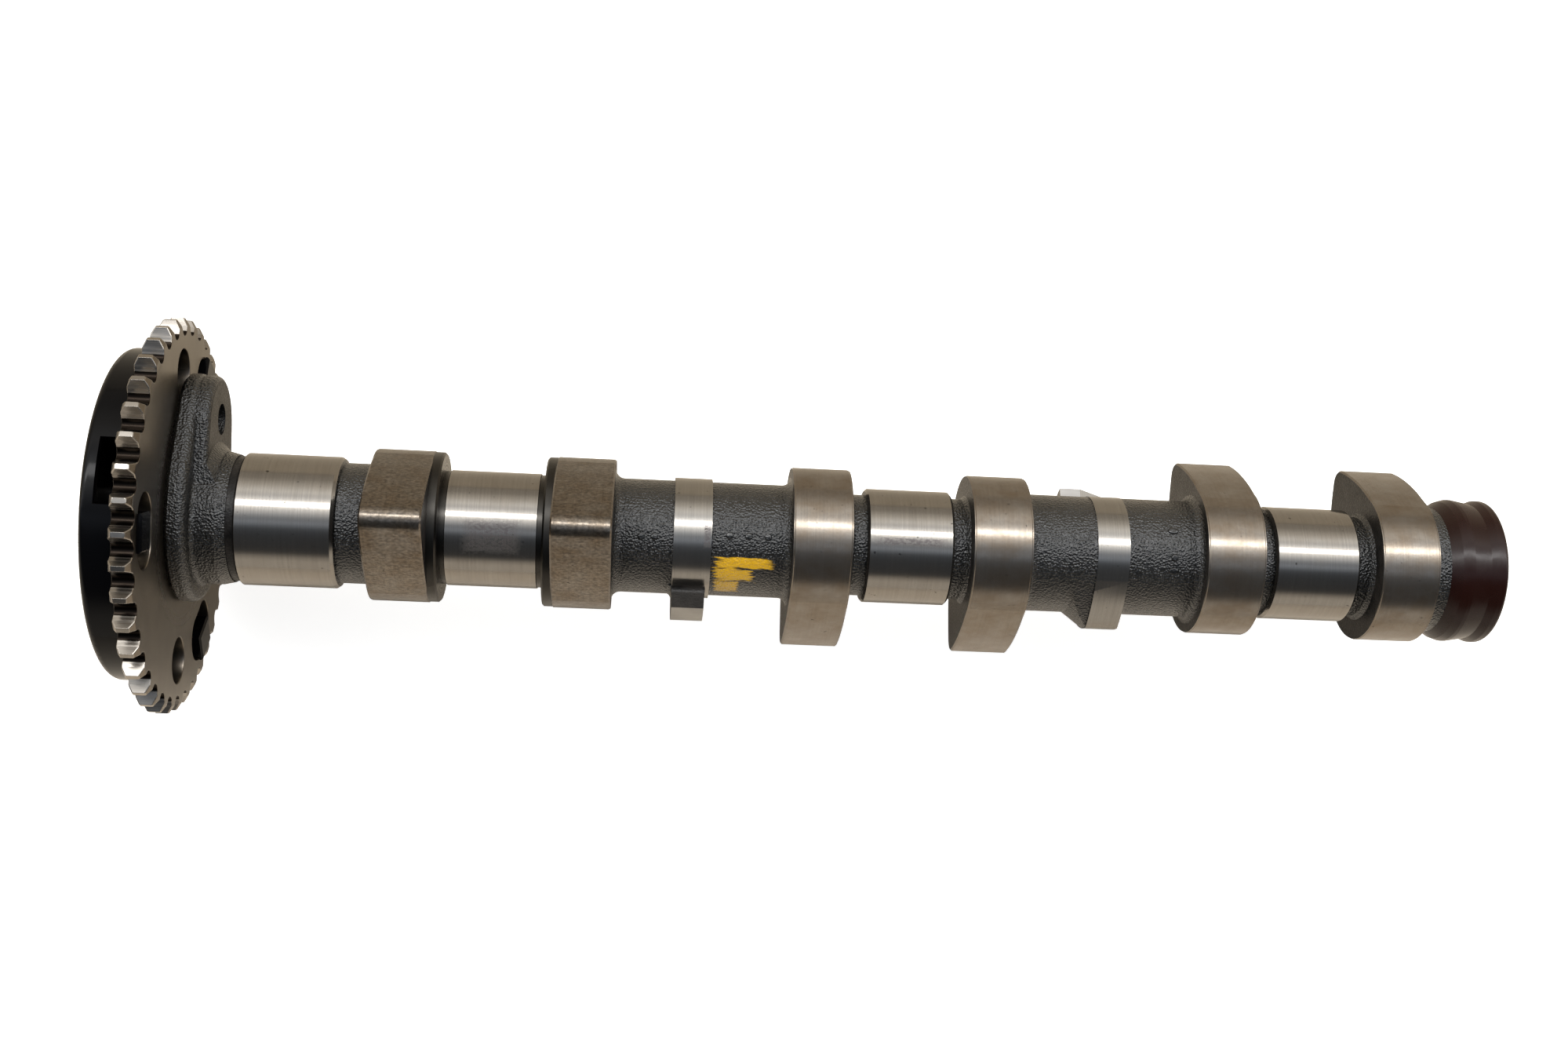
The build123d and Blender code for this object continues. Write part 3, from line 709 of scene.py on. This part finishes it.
class CAMSHAFT_OT_studio(bpy.types.Operator):
    """Adds the camera, the pale board, the strip lamp and the room's light"""

    bl_idname = "camshaft.studio"
    bl_label = "Studio"

    def execute(self, context):
        studio = context.scene.camshaft_studio
        self.add_camera(context)
        self.add_board(context, studio)
        self.add_lamp(context, studio)
        self.light_room(context, studio)
        context.scene.view_settings.view_transform = "Standard"
        return {"FINISHED"}

    def add_camera(self, context):
        """The photograph's own view."""
        bpy.ops.object.camera_add(
            location=Vector(CAMERA_PLACE) * MM, rotation=[radians(turn) for turn in CAMERA_TURN]
        )
        camera = context.object
        camera.name = "camera"
        camera.data.sensor_width = SENSOR_WIDTH
        camera.data.lens = FOCAL_PX / IMAGE_WIDTH_PX * SENSOR_WIDTH
        camera.data.clip_start = 1 * MM
        context.scene.camera = camera

    def add_board(self, context, studio):
        """A pale board under the sprocket's lowest tooth."""
        bpy.ops.mesh.primitive_plane_add(size=BOARD_SIDE, location=(0, 0, cad_box[0][2]))
        floor = context.object
        floor.name = "floor"
        floor.data.materials.append(finish_board("painted_board", studio.floor_colour[:]))

    def add_lamp(self, context, studio):
        """A long lamp over the shaft that fills the strip's angles about it."""
        middle = radians(sum(STRIP_ANGLES) / 2)
        reach = studio.lamp_distance
        width = 2 * reach * tan(radians(STRIP_ANGLES[1] - STRIP_ANGLES[0]) / 2)
        bpy.ops.object.light_add(
            type="AREA",
            location=(LAMP_MIDDLE_X * MM, reach * sin(middle), reach * cos(middle)),
            rotation=(-middle, 0, 0),
        )
        lamp = context.object
        lamp.name = "strip_lamp"
        lamp.data.shape = "RECTANGLE"
        lamp.data.size = LAMP_LENGTH
        lamp.data.size_y = width
        # A flat lamp of radiance 1 gives pi watts from each square metre
        lamp.data.energy = studio.key_light * LAMP_LENGTH * width * pi
        lamp.visible_camera = False

    def light_room(self, context, studio):
        """The room, paler and darker round the shaft, which the camera sees as white."""
        world = bpy.data.worlds.new("room")
        context.scene.world = world
        world.use_nodes = True
        tree = world.node_tree
        tree.nodes.clear()
        rays = add(tree, "ShaderNodeLightPath")
        way = add(tree, "ShaderNodeTexCoord").outputs["Generated"]
        sides = add(tree, "ShaderNodeSeparateXYZ", {0: way})
        turn = add(
            tree, "ShaderNodeMath", {0: sides.outputs["Y"], 1: sides.outputs["Z"]}, operation="ARCTAN2"
        )
        share = add(tree, "ShaderNodeMapRange", {"Value": turn, "From Min": -pi, "From Max": pi})
        tones = add(tree, "ShaderNodeValToRGB", {"Fac": share})
        stops = tones.color_ramp.elements
        stops.remove(stops[1])
        # The ramp runs from -180 to 180 degrees, and its first stop is there already
        for number, (angle, tone) in enumerate(ROOM_TONES):
            stop = stops.new(angle / 360 + 0.5) if number else stops[0]
            stop.color = linear(tone)
        light = add(tree, "ShaderNodeBackground", {"Color": tones, "Strength": studio.room_light})
        white = add(tree, "ShaderNodeBackground", {"Color": linear(WHITE), "Strength": 1.0})
        shown = add(
            tree, "ShaderNodeMixShader", {0: rays.outputs["Is Camera Ray"], 1: light, 2: white}
        )
        add(tree, "ShaderNodeOutputWorld", {"Surface": shown})


class CAMSHAFT_OT_shaft(bpy.types.Operator):
    """Dresses the casting: ground journals, lobes and trigger rings, turned faces and cast skin"""

    bl_idname = "camshaft.shaft"
    bl_label = "Shaft"

    def execute(self, context):
        colours = context.scene.camshaft_finishes
        shaft = joined_copy(context, "camshaft", "camshaft_shaft")
        dress(shaft, self.finishes(colours.iron[:], colours.varnish[:], colours.skin[:]), iron_surface)
        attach(shaft, BODY)
        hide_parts("camshaft")
        return {"FINISHED"}

    def finishes(self, iron, varnish, skin):
        """The finishes of the casting, in the order of their numbers."""
        return (
            # Blasted grey iron under oil: black and grainy, with the marking brush's strokes
            finish_cast_skin(
                "blasted_cast_iron",
                linear(SKIN_HOLLOWS),
                skin,
                rough=0.3,
                grain_depth=0.2,
                oil=0.75,
                strokes=PAINT_STROKES,
            ),
            # Ground bearing surfaces: bright, with a thin stain and two dark smudges
            finish_ground_iron(
                "ground_journal_iron",
                iron,
                varnish,
                stain_share=0.3,
                rough=0.14,
                line_mm=0.3,
                mottle=0.0,
                film=0.03,
                smudges=JOURNAL_SMUDGES,
            ),
            # Ground cam faces under brown varnish: satin and warm
            finish_ground_iron(
                "ground_lobe_iron",
                iron,
                varnish,
                stain_share=0.9,
                rough=0.2,
                line_mm=0.25,
                mottle=0.08,
                film=0.09,
            ),
            # The same on the first two lobes, where the varnish is worn through in grains
            finish_ground_iron(
                "mottled_lobe_iron",
                iron,
                varnish,
                stain_share=1.0,
                rough=0.22,
                line_mm=0.25,
                mottle=0.55,
                film=0.06,
            ),
            # Ground rings that a sensor reads: clean and bright, with specks beside the lug
            finish_ground_iron(
                "ground_ring_iron",
                iron,
                varnish,
                stain_share=0.15,
                rough=0.17,
                line_mm=0.2,
                mottle=0.0,
                film=0.03,
                smudges=RING_SMUDGES,
            ),
            # Shoulders left as the lathe turned them: dark grey with fine rings
            finish_bare_metal(
                "turned_iron", linear(TURNED_IRON), rough=0.28, ring_mm=0.4, ring_depth=0.01
            ),
            # Rough side faces under dry oil, dark brown and dull; on the groove and ear face, painted shade
            finish_cast_skin(
                "rough_side_iron_and_painted_shade",
                linear(ROUGH_SIDE_AND_SHADE_DARK),
                linear(ROUGH_SIDE_AND_SHADE_LIGHT),
                rough=0.34,
                grain_depth=0.05,
                oil=0.0,
            ),
            # Milled tops of the lug and the stop: pale and matt
            finish_bare_metal(
                "milled_lug_tip", linear(MILLED_IRON), rough=0.5, ring_mm=0.4, ring_depth=0.01
            ),
        )


class CAMSHAFT_OT_pips(bpy.types.Operator):
    """Adds the foundry's raised pips on the cast shaft"""

    bl_idname = "camshaft.pips"
    bl_label = "Foundry pips"

    def execute(self, context):
        width = context.scene.camshaft_details.pip_width
        pattern = self.one_pip(context, width, context.scene.camshaft_details.pip_height)
        pips = []
        for x, angle, length, radius in PIPS:
            turn = radians(angle)
            pip = pattern.copy()
            pip.data = pattern.data.copy()
            context.scene.collection.objects.link(pip)
            pip.scale = (length * MM / width, 1, 1)
            pip.rotation_euler = (-turn, 0, 0)
            pip.location = Vector((x, radius * sin(turn), radius * cos(turn))) * MM
            pips.append(pip)
        bpy.data.objects.remove(pattern)
        bpy.ops.object.select_all(action="DESELECT")
        for pip in pips:
            pip.select_set(True)
        context.view_layer.objects.active = pips[0]
        bpy.ops.object.join()
        bpy.ops.object.transform_apply()
        piece = context.object
        piece.name = "foundry_pips"
        bpy.ops.object.shade_smooth_by_angle(angle=radians(PIP_SMOOTH_ANGLE))
        # The casting's own skin, with shallower grains on so small a form
        skin = finish_cast_skin(
            "cast_pip_iron",
            linear(SKIN_HOLLOWS),
            context.scene.camshaft_finishes.skin[:],
            rough=0.3,
            grain_depth=0.08,
            oil=0.75,
        )
        piece.data.materials.append(skin)
        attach(piece, BODY)
        return {"FINISHED"}

    def one_pip(self, context, width, height):
        """A round pip whose foot is sunk below the origin, with all its edges rounded.

        The rounding is wider than a side face, so the faces round the side lie over each other.
        """
        depth = height + PIP_SUNK * MM
        bpy.ops.mesh.primitive_cylinder_add(
            vertices=PIP_SIDES, radius=width / 2, depth=depth, location=(0, 0, height - depth / 2)
        )
        bpy.ops.object.transform_apply()
        pip = context.object
        bpy.ops.object.mode_set(mode="EDIT")
        if bpy.ops.mesh.bevel(offset=PIP_EDGE * MM, segments=ROUNDING_SEGMENTS) != {"FINISHED"}:
            raise RuntimeError("the pip's edges can't be rounded")
        bpy.ops.object.mode_set(mode="OBJECT")
        return pip


class CAMSHAFT_OT_sprocket(bpy.types.Operator):
    """Dresses the sprocket: fine blanked faces and bright teeth"""

    bl_idname = "camshaft.sprocket"
    bl_label = "Sprocket"

    def execute(self, context):
        sprocket = joined_copy(context, "drive_sprocket", "sprocket_wheel")
        worn = sprocket.modifiers.new("worn_edges", "BEVEL")
        worn.limit_method = "ANGLE"
        worn.angle_limit = radians(WORN_EDGE_ANGLE)
        worn.width = context.scene.camshaft_details.worn_edge
        worn.segments = ROUNDING_SEGMENTS
        bpy.ops.object.modifier_apply(modifier=worn.name)
        steel = context.scene.camshaft_finishes.steel[:]
        finishes = (
            # Fine-blanked steel under oil: an even satin without rings
            finish_bare_metal("blanked_steel", steel, rough=0.3, ring_mm=30, ring_depth=0.001),
            # Flanks and tips that the chain has polished: pale and bright
            finish_bare_metal(
                "polished_teeth", linear(POLISHED_STEEL), rough=0.3, ring_mm=0.5, ring_depth=0.002
            ),
            # Roots between the teeth: nearly black, with a wet gleam
            finish_bare_metal(
                "dark_tooth_roots", linear(DARK_ROOT_STEEL), rough=0.26, ring_mm=0.5, ring_depth=0.002
            ),
        )
        dress(sprocket, finishes, sprocket_surface)
        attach(sprocket, BODY)
        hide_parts("drive_sprocket")
        return {"FINISHED"}


class CAMSHAFT_OT_small_parts(bpy.types.Operator):
    """Gives the separator cup, the fasteners and the end seal their finishes"""

    bl_idname = "camshaft.small_parts"
    bl_label = "Cup, fasteners and seal"

    def execute(self, context):
        colours = context.scene.camshaft_finishes
        # Phosphated steel: dark grey and dull
        steel = finish_bare_metal(
            "phosphated_steel", linear(PHOSPHATE), rough=0.4, ring_mm=0.6, ring_depth=0.008
        )
        # A ground dowel: pale and bright
        pin = finish_bare_metal(
            "dowel_pin_steel", linear(PIN_STEEL), rough=0.2, ring_mm=0.3, ring_depth=0.004
        )
        # Black nylon from a polished tool, wet with oil: black with one soft highlight
        nylon = finish_moulded("moulded_nylon", colours.moulding[:], rough=0.12, specular=0.11)
        # Brown moulded rubber: dark, with a fainter gleam along its ribs
        rubber = finish_moulded("moulded_rubber", colours.rubber[:], rough=0.22, specular=0.22)
        for node, finish in {
            "separator_cup": nylon,
            "end_seal": rubber,
            "sprocket_bolt": steel,
            "bolt_washer": steel,
            "sprocket_dowel": pin,
        }.items():
            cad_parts[node].material_slots[0].material = finish
        return {"FINISHED"}


class CAMSHAFT_PT_panel(bpy.types.Panel):
    """Lists the steps that dress the camshaft"""

    bl_idname = "CAMSHAFT_PT_panel"
    bl_label = "Camshaft"
    bl_space_type = "VIEW_3D"
    bl_region_type = "UI"
    bl_category = "Camshaft"

    def draw(self, context):
        for step in STEPS:
            self.layout.operator(step.bl_idname)
        scene = context.scene
        for group in (scene.camshaft_studio, scene.camshaft_finishes, scene.camshaft_details):
            for name in group.bl_rna.properties.keys():
                if name not in ("rna_type", "name"):
                    self.layout.prop(group, name)


STEPS = (
    CAMSHAFT_OT_studio,
    CAMSHAFT_OT_shaft,
    CAMSHAFT_OT_pips,
    CAMSHAFT_OT_sprocket,
    CAMSHAFT_OT_small_parts,
)
CLASSES = (CamshaftStudio, CamshaftFinishes, CamshaftDetails, *STEPS, CAMSHAFT_PT_panel)


def register():
    """Adds the classes, and the settings that each scene holds."""
    for made in CLASSES:
        bpy.utils.register_class(made)
    bpy.types.Scene.camshaft_studio = bpy.props.PointerProperty(type=CamshaftStudio)
    bpy.types.Scene.camshaft_finishes = bpy.props.PointerProperty(type=CamshaftFinishes)
    bpy.types.Scene.camshaft_details = bpy.props.PointerProperty(type=CamshaftDetails)


def unregister():
    """Takes away what register added."""
    del bpy.types.Scene.camshaft_details
    del bpy.types.Scene.camshaft_finishes
    del bpy.types.Scene.camshaft_studio
    for made in reversed(CLASSES):
        bpy.utils.unregister_class(made)


def main():
    register()
    bpy.ops.object.select_all(action="DESELECT")
    bpy.ops.camshaft.studio()
    bpy.ops.camshaft.shaft()
    bpy.ops.camshaft.pips()
    bpy.ops.camshaft.sprocket()
    bpy.ops.camshaft.small_parts()


if __name__ == "__main__":
    main()
